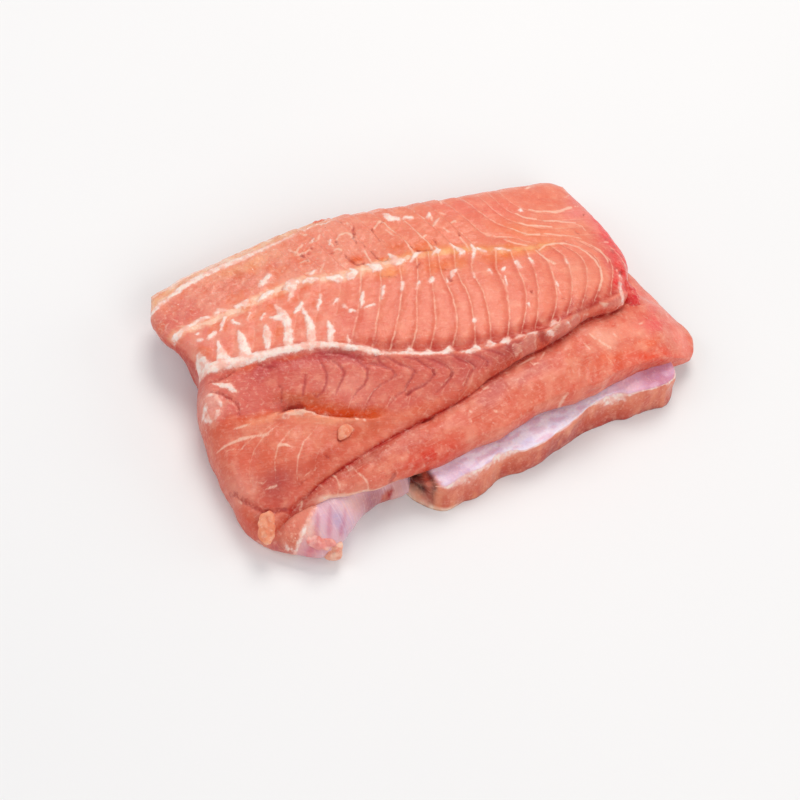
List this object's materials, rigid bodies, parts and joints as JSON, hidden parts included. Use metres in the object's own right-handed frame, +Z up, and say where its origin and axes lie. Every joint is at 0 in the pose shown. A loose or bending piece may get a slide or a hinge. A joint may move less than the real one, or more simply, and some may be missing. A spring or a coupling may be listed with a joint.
{
  "type": "raw catfish fillet",
  "caption": "Raw, skinless catfish fillet lying bone side up, with its belly wall curled along the front and one end folded under, skin side up.",
  "frame": {"origin": "middle of the bounding box's underside, level with the flat face that the fillet rests on", "axes": "+X along the fillet from the end that is raised clear of the board to the end where the belly wall sticks out, +Y from the folded front to the back, +Z up out of the bone side"},
  "size_m": [0.2232, 0.1567, 0.0369],
  "materials": {
    "raw_flesh": "raw salmon-orange fish flesh, wet and softly glossy, with white fat along the backbone scar and a lilac silverskin on the skin side"
  },
  "bodies": {
    "root": {"fillet": "raw_flesh"}
  },
  "joints": []
}
